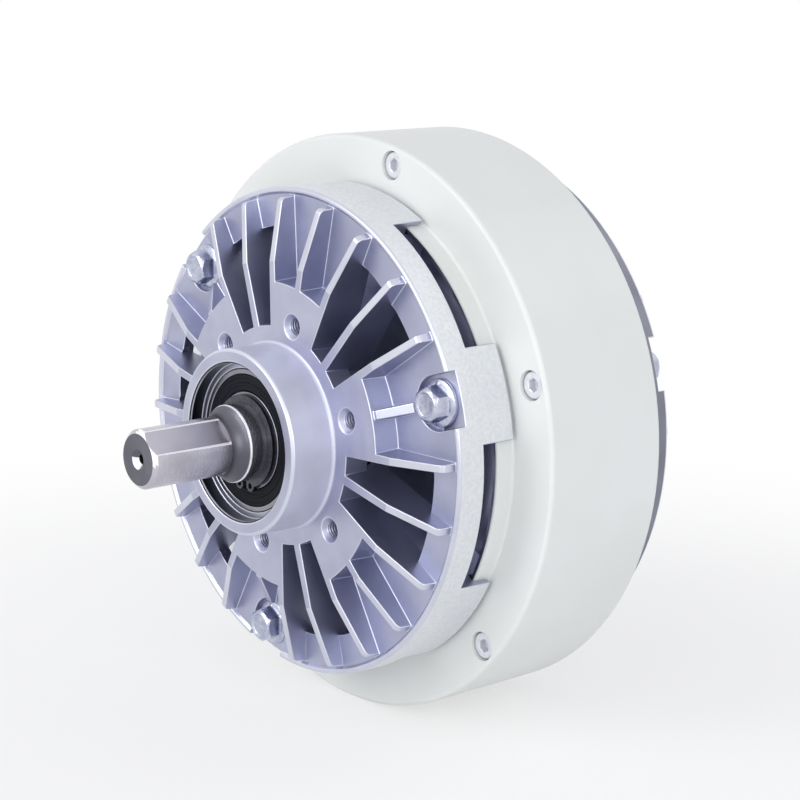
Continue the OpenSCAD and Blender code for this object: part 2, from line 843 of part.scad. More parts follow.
// Bearing pieces, each with its front face at zero.
module outer_ring() {
    rotate_extrude()
        difference() {
            translate([outer_land_r, 0])
                square([bearing_d / 2 - outer_land_r, bearing_w]);
            translate([pitch_r, bearing_w / 2])
                circle(ball_r + run_gap / 2);
            translate([outer_land_r - over, -over])
                square([seal_seat_r - outer_land_r + over, seal_t + run_gap + over]);
            translate([outer_land_r - over, bearing_w - seal_t - run_gap])
                square([seal_seat_r - outer_land_r + over, seal_t + run_gap + over]);
        }
}

module inner_ring() {
    rotate_extrude()
        difference() {
            translate([bearing_bore / 2 + seat_gap, 0])
                square([inner_land_r - bearing_bore / 2 - seat_gap, bearing_w]);
            translate([pitch_r, bearing_w / 2])
                circle(ball_r + run_gap / 2);
        }
}

module balls() {
    around(ball_count, 0)
        translate([pitch_r, 0, bearing_w / 2])
            sphere(ball_r);
}

// A snap cage: a ring with a round pocket for each ball.
module cage() {
    cage_t = 0.6 * land_h;
    cage_back = 0.8 * ball_r;
    difference() {
        ring(pitch_r - cage_t, pitch_r + cage_t, bearing_w / 2 - cage_back, bearing_w - 2 * seal_t);
        around(ball_count, 0)
            translate([pitch_r, 0, bearing_w / 2])
                sphere(ball_r + seat_gap);
    }
}

// The two rubber seals, each in the outer ring's recess.
module bearing_seals() {
    for (at = [run_gap, bearing_w - run_gap - seal_t])
        ring(inner_land_r + 2 * run_gap, seal_seat_r - seat_gap, at, at + seal_t);
}

module front_bearing_outer_ring() {
    color("silver") along_shaft() translate([0, 0, bearing_front]) outer_ring();
}

module front_bearing_inner_ring() {
    color("silver") along_shaft() translate([0, 0, bearing_front]) inner_ring();
}

module front_bearing_balls() {
    color("silver") along_shaft() translate([0, 0, bearing_front]) balls();
}

module front_bearing_cage() {
    color("ivory") along_shaft() translate([0, 0, bearing_front]) cage();
}

module front_bearing_seals() {
    color("black") along_shaft() translate([0, 0, bearing_front]) bearing_seals();
}

module rear_bearing_outer_ring() {
    color("silver") along_shaft() translate([0, 0, rear_bearing_front]) outer_ring();
}

module rear_bearing_inner_ring() {
    color("silver") along_shaft() translate([0, 0, rear_bearing_front]) inner_ring();
}

module rear_bearing_balls() {
    color("silver") along_shaft() translate([0, 0, rear_bearing_front]) balls();
}

module rear_bearing_cage() {
    color("ivory") along_shaft() translate([0, 0, rear_bearing_front]) cage();
}

module rear_bearing_seals() {
    color("black") along_shaft() translate([0, 0, rear_bearing_front]) bearing_seals();
}

module rear_cap() {
    color("lightgray")
        along_shaft()
            difference() {
                rotate_extrude()
                    polygon(concat(
                        [
                            [0, rear_bearing_end], [bearing_d / 2 - seat_gap, rear_bearing_end],
                            [bearing_d / 2 - seat_gap, rear_face], [cap_d / 2, rear_face]
                        ],
                        arc([cap_d / 2 - cap_edge, rear_face + cap_t - cap_edge], cap_edge, 0, 90),
                        [[cap_dome_r + cap_edge, rear_face + cap_t]],
                        arc([cap_dome_r - cap_edge, cap_inside + cap_t - cap_edge], cap_edge, 0, 90),
                        [[0, cap_inside + cap_t]]
                    ));
                ring(0, cap_room_r, rear_bearing_end - over, cap_inside);
                around(cap_screw_count)
                    translate([cap_screw_r, 0, rear_face - over])
                        cylinder(h = cap_t + 2 * over, d = small_screw_d + 2 * hole_gap);
            }
}

module rear_cap_screws() {
    color("silver")
        along_shaft()
            around(cap_screw_count)
                translate([cap_screw_r, 0, rear_face + cap_t])
                    mirror([0, 0, 1])
                        cap_screw(small_head_d, small_screw_d, cap_t + cap_screw_l - drill_gap);
}

// Points outwards along the grommet's axis, from the middle of the shaft.
module at_grommet() {
    translate([0, 0, middle])
        rotate([0, 0, -grommet_angle])
            rotate([0, 90, 0])
                children();
}

module lead_grommet() {
    color("black")
        along_shaft()
            at_grommet()
                difference() {
                    union() {
                        translate([0, 0, coil_out_r + over])
                            cylinder(h = grommet_seat - coil_out_r, d = grommet_d);
                        translate([0, 0, grommet_seat])
                            cylinder(h = grommet_flange_t, d = grommet_flange_d);
                    }
                    translate([0, 0, coil_out_r])
                        cylinder(h = 2 * yoke_rim, d = grommet_bore_d);
                }
}

// Key and keyways, on the side of the shaft that faces along X.
module key_shape(width, from_r, to_r, length) {
    translate([from_r, -width / 2, middle - length / 2 + width / 2])
        cube([to_r - from_r, width, length - width]);
    for (side = [-1, 1])
        translate([from_r, 0, middle + side * (length - width) / 2])
            rotate([0, 90, 0])
                cylinder(h = to_r - from_r, d = width);
}

module groove(radius, from) {
    ring(radius - groove_depth, radius + over, from - groove_gap, from + circlip_t + groove_gap);
}

module shaft() {
    end_r = end_d / 2;
    seat_r = bearing_bore / 2;
    mid_r = shaft_d / 2;
    seat_start = hub_front - seat_lead;
    neck_turn = acos(1 - (seat_r - seat_edge - end_r) / neck_fillet);
    neck_start = seat_start - neck_fillet * sin(neck_turn);
    color("darkgray")
        along_shaft()
            difference() {
                rotate([0, 0, -flat_angle])
                    difference() {
                        rotate_extrude()
                            polygon(concat(
                                [
                                    [0, shaft_tip], [end_r - end_chamfer, shaft_tip],
                                    [end_r, shaft_tip + end_chamfer]
                                ],
                                arc([end_r + neck_fillet, neck_start], neck_fillet, 180, 180 - neck_turn),
                                [
                                    [seat_r, seat_start + seat_edge], [seat_r, bearing_front_end],
                                    [mid_r, bearing_front_end], [mid_r, rotor_hub_front - stop_w],
                                    [stop_d / 2, rotor_hub_front - stop_w], [stop_d / 2, rotor_hub_front],
                                    [mid_r, rotor_hub_front], [mid_r, rear_bearing_front],
                                    [seat_r, rear_bearing_front], [seat_r, shaft_end - end_chamfer],
                                    [seat_r - end_chamfer, shaft_end], [0, shaft_end]
                                ]
                            ));
                        translate([end_r - flat_depth, -end_r, shaft_tip - over])
                            cube([end_r, 2 * end_r, flat_l + over]);
                    }
                groove(seat_r, bearing_front - circlip_t);
                groove(mid_r, rotor_hub_rear);
                groove(seat_r, rear_bearing_end);
                key_shape(key_w + 2 * seat_gap, mid_r - key_depth, mid_r + over, key_l + 2 * seat_gap);
                translate([0, 0, shaft_tip - over])
                    cylinder(h = centre_d + over, d = centre_d / 2);
                translate([0, 0, shaft_tip - over])
                    cylinder(h = centre_d / 2 + over, d1 = centre_d + 2 * over, d2 = 0);
            }
}

module rotor_hub() {
    color("silver")
        along_shaft()
            difference() {
                union() {
                    ring(shaft_d / 2 + seat_gap, rotor_hub_d / 2, rotor_hub_front, rotor_hub_rear);
                    ring(shaft_d / 2 + seat_gap, rotor_bore_r - seat_gap, middle - flange_t, middle);
                }
                translate([0, -key_w / 2 - seat_gap, rotor_hub_front - over])
                    cube([
                        shaft_d / 2 - key_depth + key_h + seat_gap, key_w + 2 * seat_gap,
                        rotor_hub_l + 2 * over
                    ]);
                around(rotor_screw_count)
                    translate([rotor_screw_r, 0, middle - flange_t - over])
                        cylinder(h = flange_t + 2 * over, d = small_screw_d + 2 * hole_gap);
            }
}

module rotor_ring() {
    color("dimgray")
        along_shaft()
            difference() {
                union() {
                    ring(rotor_bore_r, rotor_r, rotor_front, rotor_rear);
                    ring(flange_r, rotor_bore_r + sink, middle, middle + flange_t);
                }
                around(rotor_screw_count)
                    translate([rotor_screw_r, 0, middle - over])
                        cylinder(h = flange_t + 2 * over, d = small_screw_d + 2 * seat_gap);
            }
}

module rotor_screws() {
    color("silver")
        along_shaft()
            around(rotor_screw_count)
                translate([rotor_screw_r, 0, middle - flange_t])
                    cap_screw(small_head_d, small_screw_d, 2 * flange_t - drill_gap);
}

module rotor_key() {
    color("gray")
        along_shaft()
            key_shape(key_w, shaft_d / 2 - key_depth + seat_gap, shaft_d / 2 - key_depth + key_h, key_l);
}

// An external retaining ring with its two lugs at the bottom.
module circlip(radius) {
    inner_r = radius - groove_depth + seat_gap;
    lug_r = 1.5;
    lug_sink = 0.4;
    lug_at = inner_r + circlip_w - lug_sink;
    lug_turn = asin(1.5 * lug_r / lug_at);
    linear_extrude(circlip_t)
        difference() {
            union() {
                circle(inner_r + circlip_w);
                for (side = [-1, 1])
                    rotate(90 + side * lug_turn)
                        translate([lug_at, 0])
                            circle(lug_r);
            }
            circle(inner_r);
            translate([-lug_r / 2, 0])
                square([lug_r, 2 * lug_at]);
            for (side = [-1, 1])
                rotate(90 + side * lug_turn)
                    translate([lug_at, 0])
                        circle(lug_r / 2);
        }
}

module rotor_circlip() {
    color("dimgray") along_shaft() translate([0, 0, rotor_hub_rear]) circlip(shaft_d / 2);
}

module front_shaft_circlip() {
    color("dimgray") along_shaft() translate([0, 0, bearing_front - circlip_t]) circlip(bearing_bore / 2);
}

module rear_shaft_circlip() {
    color("dimgray") along_shaft() translate([0, 0, rear_bearing_end]) circlip(bearing_bore / 2);
}

front_bracket();
rear_bracket();
front_yoke();
rear_yoke();
coil_bobbin();
field_coil();
front_pole_ring();
pole_spacer();
rear_pole_ring();
magnetic_powder();
front_chamber_plate();
rear_chamber_plate();
front_powder_seal();
rear_powder_seal();
front_plate_screws();
rear_plate_screws();
yoke_screws();
front_bracket_bolts();
rear_bracket_bolts();
front_bearing_outer_ring();
front_bearing_inner_ring();
front_bearing_balls();
front_bearing_cage();
front_bearing_seals();
rear_bearing_outer_ring();
rear_bearing_inner_ring();
rear_bearing_balls();
rear_bearing_cage();
rear_bearing_seals();
rear_cap();
rear_cap_screws();
lead_grommet();
shaft();
rotor_hub();
rotor_ring();
rotor_screws();
rotor_key();
rotor_circlip();
front_shaft_circlip();
rear_shaft_circlip();
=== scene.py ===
import json
import math

import bmesh
import bpy
import numpy as np
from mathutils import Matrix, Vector


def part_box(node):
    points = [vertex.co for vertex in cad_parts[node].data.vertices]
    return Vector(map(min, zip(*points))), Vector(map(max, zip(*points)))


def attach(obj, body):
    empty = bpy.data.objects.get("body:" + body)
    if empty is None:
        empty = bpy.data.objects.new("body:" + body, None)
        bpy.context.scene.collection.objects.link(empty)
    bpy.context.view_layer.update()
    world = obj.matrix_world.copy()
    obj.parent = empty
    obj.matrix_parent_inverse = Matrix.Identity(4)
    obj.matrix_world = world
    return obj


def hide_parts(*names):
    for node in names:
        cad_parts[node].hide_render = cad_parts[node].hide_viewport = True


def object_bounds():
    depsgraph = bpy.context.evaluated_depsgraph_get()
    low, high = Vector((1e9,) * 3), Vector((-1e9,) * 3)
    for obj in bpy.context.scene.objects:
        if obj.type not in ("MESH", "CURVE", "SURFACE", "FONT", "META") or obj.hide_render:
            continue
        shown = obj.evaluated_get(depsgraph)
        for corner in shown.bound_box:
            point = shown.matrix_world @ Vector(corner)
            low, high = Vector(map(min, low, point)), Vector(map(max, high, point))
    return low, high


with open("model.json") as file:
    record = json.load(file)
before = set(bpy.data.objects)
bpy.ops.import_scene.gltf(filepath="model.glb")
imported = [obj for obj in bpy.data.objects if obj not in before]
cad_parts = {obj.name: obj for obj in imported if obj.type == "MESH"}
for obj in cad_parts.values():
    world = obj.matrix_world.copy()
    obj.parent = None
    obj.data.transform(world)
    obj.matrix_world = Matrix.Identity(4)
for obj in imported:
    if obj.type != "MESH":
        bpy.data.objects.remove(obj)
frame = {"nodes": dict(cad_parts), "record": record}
cadLow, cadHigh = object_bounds()
nodes = frame["nodes"]
slotOf = {part["node"]: part["material_slot"] for part in frame["record"]["subparts"]}
bodyOf = {name: body for body, names in frame["record"]["behaviour"]["bodies"].items() for name in names}
mm = 0.001
print("frame:", len(nodes), "nodes")


# colours and nodes

def linear(hexColour):
    # sRGB to linear: a straight line near black, a power curve above it
    values = np.array([int(hexColour[i:i + 2], 16) for i in (1, 3, 5)]) / 255
    curve = np.where(values <= 0.04045, values / 12.92, ((values + 0.055) / 1.055) ** 2.4)
    return (*curve.tolist(), 1.0)


def addNode(tree, kind, values=None, links=None, **settings):
    # one shader node: its settings, the fixed values on its inputs, and the sockets that its inputs are linked to
    node = tree.nodes.new("ShaderNode" + kind)
    for name, value in settings.items():
        setattr(node, name, value)
    for name, value in (values or {}).items():
        node.inputs[name].default_value = value
    for name, socket in (links or {}).items():
        tree.links.new(socket, node.inputs[name])
    return node


def perMetre(sizeMm):
    # a texture's scale is how many of its features fit in a metre
    return 1000 / sizeMm


def newFinish(name, values):
    # an empty material with one Principled shader, and the object's own coordinates to lay patterns on
    finish = bpy.data.materials.new(name)
    finish.use_nodes = True
    tree = finish.node_tree
    tree.nodes.clear()
    shader = addNode(tree, "BsdfPrincipled", values)
    addNode(tree, "OutputMaterial", links={"Surface": shader.outputs["BSDF"]})
    coords = addNode(tree, "TexCoord").outputs["Object"]
    return finish, tree, shader, coords


rampEnds = (0.35, 0.65)  # the darker colour holds below the first, the lighter one above the second


def layPatterns(tree, shader, tint, colours, sheen, roughness, relief, strength, heightMm):
    # three patterns on one shader: tint runs the colour from dark to light, sheen runs the roughness between two
    # values, and relief is a bump whose full height is given in millimetres
    ramp = addNode(tree, "ValToRGB", links={"Fac": tint.outputs["Fac"]})
    for stop, place, colour in zip(ramp.color_ramp.elements, rampEnds, colours):
        stop.position, stop.color = place, linear(colour)
    span = addNode(tree, "MapRange", {"To Min": roughness[0], "To Max": roughness[1]},
                   {"Value": sheen.outputs["Fac"]})
    bump = addNode(tree, "Bump", {"Strength": strength, "Distance": heightMm * mm}, {"Height": relief.outputs["Fac"]})
    tree.links.new(ramp.outputs["Color"], shader.inputs["Base Color"])
    tree.links.new(span.outputs["Result"], shader.inputs["Roughness"])
    tree.links.new(bump.outputs["Normal"], shader.inputs["Normal"])


# finishes, each named for what it is and how its surface was made

def castAluminium(name, dark, light, rough):
    # die-cast aluminium, tumbled: a cool grey sheen, faintly clouded, with a fine grain
    finish, tree, shader, coords = newFinish(name, {"Metallic": 1.0})
    cloud = addNode(tree, "TexNoise", {"Scale": perMetre(14), "Detail": 3}, {"Vector": coords})
    grain = addNode(tree, "TexNoise", {"Scale": perMetre(0.5), "Detail": 2}, {"Vector": coords})
    layPatterns(tree, shader, cloud, (dark, light), cloud, (rough, rough + 0.08), grain, 0.10, 0.05)
    return finish


def castSkin():
    # the rim's side as it left the mould: paler, matt and sandy, drawn a little coarser than real to show
    finish, tree, shader, coords = newFinish("aluminiumSandyCast", {"Metallic": 0.5})
    cloud = addNode(tree, "TexNoise", {"Scale": perMetre(6), "Detail": 4}, {"Vector": coords})
    grain = addNode(tree, "TexNoise", {"Scale": perMetre(0.9), "Detail": 3}, {"Vector": coords})
    layPatterns(tree, shader, grain, ("#DADDE0", "#E4E6E9"), cloud, (0.46, 0.60), grain, 0.22, 0.10)
    return finish


waveTurn = 20  # radians that a wave texture runs through in one unit of its scale


def turnedAluminium(name, dark, light, rough=0.28, metallic=1.0):
    # aluminium faced on a lathe: faint rings round the shaft, one radian in 0.8 mm and so 5 mm apart, far coarser than
    # a real feed so that they show
    finish, tree, shader, coords = newFinish(name, {"Metallic": metallic})
    rings = addNode(tree, "TexWave", {"Scale": perMetre(0.8) / waveTurn, "Distortion": 0.4, "Detail": 1},
                    {"Vector": coords}, wave_type="RINGS", rings_direction="Y")
    cloud = addNode(tree, "TexNoise", {"Scale": perMetre(12), "Detail": 3}, {"Vector": coords})
    layPatterns(tree, shader, cloud, (dark, light), rings, (rough, rough + 0.1), rings, 0.05, 0.02)
    return finish


def housingPaint():
    # baked off-white enamel on turned steel: soft gloss with a faint orange peel
    finish, tree, shader, coords = newFinish("enamelBaked", {"IOR": 1.5, "Coat Weight": 0.12, "Coat Roughness": 0.2})
    peel = addNode(tree, "TexNoise", {"Scale": perMetre(1.6), "Detail": 2}, {"Vector": coords})
    cloud = addNode(tree, "TexNoise", {"Scale": perMetre(35), "Detail": 2}, {"Vector": coords})
    layPatterns(tree, shader, cloud, ("#E1E3E0", "#E5E7E5"), peel, (0.36, 0.46), peel, 0.06, 0.04)
    return finish


def groundSteel(name, dark, light, rough, lineMm):
    # steel ground between centres: fine lines round the shaft, and a trace of oil that clouds it
    finish, tree, shader, coords = newFinish(name, {"Metallic": 1.0})
    place = addNode(tree, "SeparateXYZ", links={"Vector": coords})
    lines = addNode(tree, "TexNoise", {"Scale": perMetre(lineMm), "Detail": 3},
                    {"W": place.outputs["Y"]}, noise_dimensions="1D")
    cloud = addNode(tree, "TexNoise", {"Scale": perMetre(11), "Detail": 3}, {"Vector": coords})
    layPatterns(tree, shader, cloud, (dark, light), lines, (rough, rough + 0.14), lines, 0.10, 0.03)
    return finish


def speckled(name, metallic, rough, dark, light, speckMm, strength=0.1, gloss=0.5):
    # a fine even grain that moves colour, roughness and height a little
    finish, tree, shader, coords = newFinish(name, {"Metallic": metallic, "Specular IOR Level": gloss})
    speck = addNode(tree, "TexNoise", {"Scale": perMetre(speckMm), "Detail": 3}, {"Vector": coords})
    layPatterns(tree, shader, speck, (dark, light), speck, (rough - 0.05, rough + 0.07), speck, strength, 0.04)
    return finish


finishes = {
    "cast_aluminium": castAluminium("aluminiumDieCast", "#A9ACC2", "#B7BAD0", 0.36),
    "turned_aluminium": turnedAluminium("aluminiumTurned", "#A2A5B4", "#B0B3C2"),
    "housing_paint": housingPaint(),
    "bobbin_plastic": speckled("nylonMoulded", 0.0, 0.5, "#1B1B1D", "#26262A", 1.5),
    "copper_winding": speckled("copperEnamelled", 1.0, 0.3, "#8A4A26", "#B56A3C", 1.2),
    "pole_steel": groundSteel("steelTurned", "#6E7076", "#8C8E94", 0.3, 0.4),
    "brass": groundSteel("brassTurned", "#A3843F", "#BF9F58", 0.3, 0.4),
    "iron_powder": speckled("ironPowderPacked", 0.6, 0.75, "#17171A", "#333338", 0.3, 0.6),
    "seal_rubber": speckled("rubberMoulded", 0.0, 0.5, "#090B14", "#10131E", 0.8, gloss=0.16),
    "zinc_steel": speckled("steelZincPlated", 1.0, 0.24, "#AEB3C8", "#C8CCDC", 1.6, 0.06),
    "bearing_steel": groundSteel("bearingSteelGround", "#85868E", "#9A9BA3", 0.18, 0.3),
    "cage_plastic": speckled("nylonNatural", 0.0, 0.5, "#D8D2C0", "#E6E1D2", 2.0),
    "shaft_steel": groundSteel("shaftSteelGround", "#B8B5BE", "#CAC7CF", 0.2, 0.25),
    "spring_steel": speckled("springSteelPhosphated", 1.0, 0.36, "#4A4B52", "#5E5F68", 0.7),
}
castSide = castSkin()
# a darker copy of the casting for the rear bracket's outer side: painted shade
castPaintedShade = castAluminium("aluminiumDieCastPaintedShade", "#7E808C", "#8E909C", 0.5)
# a lighter copy of the casting for proud faces and rounded edges: partly tumbled wear, partly painted highlight
castWornAndHighlight = castAluminium("aluminiumTumbledAndHighlight", "#CCCEDC", "#D6D8E4", 0.3)
machinedFace = turnedAluminium("aluminiumFaced", "#B2B4C9", "#BDBFD2", 0.34)
hubSide = turnedAluminium("aluminiumTurnedHub", "#CDCFE0", "#D6D8E7", 0.5, 0.6)
# near black for the hub's bore walls: painted shade in the recess
shadedBore = turnedAluminium("aluminiumBoredPaintedShade", "#2C2C34", "#38383F", 0.3)
# darker steel for the shaft's end, centre hole and neck: partly a duller finish, partly painted shade in the hole and
# the neck's hollow
dullSteelAndShade = groundSteel("steelTurnedDullAndShade", "#60606A", "#72727C", 0.34, 0.4)
bareSteel = groundSteel("steelBareTurned", "#8A8A9C", "#9C9CAE", 0.3, 0.5)
milledSteel = groundSteel("steelMilled", "#A2A0A9", "#B2AFB9", 0.24, 0.6)
# near white steel for the shaft's rounded edges and the chamfer by the flat: a painted highlight and glint
highlightSteel = speckled("steelPaintedHighlight", 0.35, 0.4, "#F0EEF2", "#F8F6F9", 1.0)
screwSteel = speckled("steelNickelPlated", 0.5, 0.36, "#DCDDE4", "#E8E9EE", 1.2)

for name, node in nodes.items():
    node.data.materials.clear()
    node.data.materials.append(finishes[slotOf[name]])
print("finishes:", len(bpy.data.materials))


# camera, floor and light

cameraSet = {"azimuth": 49.74, "elevation": 10.63, "distance": 0.5652, "aim": (0.0, 0.0399, 0.0141),
             "lens": 95.02, "axisPixel": (394.7, 363.0), "imagePixels": 800}


def standCamera(azimuth, elevation, distance, aim, lens, axisPixel, imagePixels):
    # the camera stands back from its aim along a level turn and a tilt; the shift puts the lens axis on its pixel
    turn, tilt = math.radians(azimuth), math.radians(elevation)
    back = Vector((math.sin(turn) * math.cos(tilt), -math.cos(turn) * math.cos(tilt), math.sin(tilt)))
    data = bpy.data.cameras.new("camera")
    data.lens = lens
    data.sensor_width = 36
    data.shift_x = 0.5 - axisPixel[0] / imagePixels
    data.shift_y = axisPixel[1] / imagePixels - 0.5
    data.clip_start = 0.01
    camera = bpy.data.objects.new("camera", data)
    camera.location = Vector(aim) + back * distance
    camera.rotation_mode = "QUATERNION"
    camera.rotation_quaternion = (-back).to_track_quat("-Z", "Y")
    bpy.context.scene.collection.objects.link(camera)
    bpy.context.scene.camera = camera


standCamera(**cameraSet)

lightSet = {
    "daylight": 0.62,
    "lamps": {  # place in metres, size in metres, watts
        "keyLamp": ((-0.25, -1.0, 0.6), 0.7, 4.0),
        "fillLamp": ((1.0, -0.35, 0.35), 0.8, 3.2),
        "frontLamp": ((0.25, -1.1, 0.25), 0.5, 1.7),
        "backLamp": ((0.35, 0.85, 0.8), 0.7, 1.0),
    },
}


def hangLamp(name, place, size, watts):
    # a round soft lamp turned towards the origin, the middle of the mounting face
    data = bpy.data.lights.new(name, "AREA")
    data.shape = "DISK"
    data.size = size
    data.energy = watts
    lamp = bpy.data.objects.new(name, data)
    lamp.location = place
    lamp.rotation_mode = "QUATERNION"
    lamp.rotation_quaternion = (-Vector(place)).to_track_quat("-Z", "Y")
    bpy.context.scene.collection.objects.link(lamp)


def whiteRays(tree):
    # one where a ray comes from the camera, a mirror or glass, and zero where it only carries light
    path = addNode(tree, "LightPath").outputs
    seen = addNode(tree, "Math", links={0: path["Is Camera Ray"], 1: path["Is Glossy Ray"]}, operation="MAXIMUM")
    return addNode(tree, "Math", links={0: seen.outputs[0], 1: path["Is Transmission Ray"]},
                   operation="MAXIMUM").outputs[0]


def lightStudio(daylight, lamps):
    # an even soft sky that gives light, a plain white one that is seen, and the lamps
    world = bpy.data.worlds.new("studio")
    bpy.context.scene.world = world
    world.use_nodes = True
    tree = world.node_tree
    tree.nodes.clear()
    soft = addNode(tree, "Background", {"Color": linear("#F6F8FF"), "Strength": daylight})
    white = addNode(tree, "Background", {"Color": (1, 1, 1, 1), "Strength": 1.0})
    mixed = addNode(tree, "MixShader", links={0: whiteRays(tree), 1: soft.outputs[0], 2: white.outputs[0]})
    addNode(tree, "OutputWorld", links={"Surface": mixed.outputs[0]})
    for name, (place, size, watts) in lamps.items():
        hangLamp(name, place, size, watts)


lightStudio(**lightSet)

# metres, but for the count of sides and the share of white close to the part
floorSet = {"radius": 3.0, "sides": 96, "middle": 0.02, "plain": 0.10, "fade": 0.34, "pale": 0.6}


def layFloor(radius, sides, middle, plain, fade, pale):
    # a disc under the housing: pale card that takes the shadow, fading to plain white further out
    angle = np.linspace(0, 2 * math.pi, sides, endpoint=False)
    points = np.stack([radius * np.cos(angle), radius * np.sin(angle), np.full(sides, cadLow.z)], axis=1)
    mesh = bpy.data.meshes.new("floor")
    mesh.from_pydata(points.tolist(), [], [list(range(sides))])
    card, tree, shader, coords = newFinish("cardPale", {"Base Color": linear("#F4F4F4"), "Roughness": 0.9})
    distance = addNode(tree, "VectorMath", {1: (0, middle, cadLow.z)}, {0: coords}, operation="DISTANCE")
    far = addNode(tree, "MapRange", {"From Min": plain, "From Max": fade, "To Min": pale},
                  {"Value": distance.outputs["Value"]}, interpolation_type="SMOOTHSTEP")
    shown = addNode(tree, "Math", links={0: far.outputs["Result"], 1: whiteRays(tree)}, operation="MULTIPLY")
    glow = addNode(tree, "Emission", {"Color": (1, 1, 1, 1), "Strength": 1.0})
    mixed = addNode(tree, "MixShader", links={0: shown.outputs[0], 1: shader.outputs[0], 2: glow.outputs[0]})
    output = next(node for node in tree.nodes if node.type == "OUTPUT_MATERIAL")
    tree.links.new(mixed.outputs[0], output.inputs["Surface"])
    mesh.materials.append(card)
    floor = bpy.data.objects.new("floor", mesh)
    bpy.context.scene.collection.objects.link(floor)


layFloor(**floorSet)
bpy.context.scene.view_settings.view_transform = "Standard"
print("camera, light and floor are up")


# the solids with their edges broken

firstBolt = 16.5  # degrees above the horizontal
# mm and degrees: distances to weld and cut at, how flat a flat face is, and which turns are sharp edges or folds
cleanSet = {"weld": 0.002, "cutGap": 0.0005, "levelGap": 0.005, "flatFacing": 0.999, "flatTurn": 0.3,
            "sharpTurn": 28, "foldTurn": 150, "pole": 0.001}


def addPiece(name, mesh, body, stands=()):
    # an object at the origin that rides on a body and may stand for a node
    piece = bpy.data.objects.new(name, mesh)
    bpy.context.scene.collection.objects.link(piece)
    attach(piece, body)
    if stands:
        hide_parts(*stands)
    return piece


def readAll(items, name, width, kind=float):
    # one value of every item of a mesh, as an array
    values = np.empty(len(items) * width, kind)
    items.foreach_get(name, values)
    return values.reshape(-1, width) if width > 1 else values


def edgeFacts(mesh):
    # each edge's middle in mm, how far its two faces turn, and whether it stands out
    corners = readAll(mesh.vertices, "co", 3)
    ends = readAll(mesh.edges, "vertices", 2, int)
    middles = (corners[ends[:, 0]] + corners[ends[:, 1]]) / 2 / mm
    facing = readAll(mesh.polygons, "normal", 3)
    centres = readAll(mesh.polygons, "center", 3)
    edgeOfLoop = readAll(mesh.loops, "edge_index", 1, int)
    faceOfLoop = np.repeat(np.arange(len(mesh.polygons)), readAll(mesh.polygons, "loop_total", 1, int))
    count = np.bincount(edgeOfLoop, minlength=len(mesh.edges))
    sortedFaces = faceOfLoop[np.argsort(edgeOfLoop, kind="stable")]
    first = np.cumsum(count) - count
    one = sortedFaces[first]
    other = sortedFaces[np.minimum(first + 1, len(sortedFaces) - 1)]
    turn = np.degrees(np.arccos(np.clip((facing[one] * facing[other]).sum(axis=1), -1, 1)))
    stands = (facing[one] * (centres[other] - centres[one])).sum(axis=1) < 0
    return middles, np.where(count == 2, turn, 0), stands


def cutFlat(work, level, start, sectors):
    # a flat face that runs right round is cut into sectors, so that what it merges to stays simple
    flat = [face for face in work.faces if abs(face.calc_center_median().y - level) < cleanSet["levelGap"] * mm
            and abs(face.normal.y) > cleanSet["flatFacing"]]
    for turn in np.radians(start + np.arange(sectors // 2) * 360 / sectors):
        edges = {edge for face in flat for edge in face.edges}
        verts = {vert for face in flat for vert in face.verts}
        cut = bmesh.ops.bisect_plane(work, geom=[*flat, *edges, *verts], dist=cleanSet["cutGap"] * mm,
                                     plane_co=(0, 0, 0), plane_no=(-math.sin(turn), 0, math.cos(turn)))
        flat = [item for item in cut["geom"] if isinstance(item, bmesh.types.BMFace)]
    for face in flat:
        middle = face.calc_center_median()
        turn = math.degrees(math.atan2(middle.z, middle.x)) - start
        face.material_index = 1 + int(turn % 360 * sectors / 360)


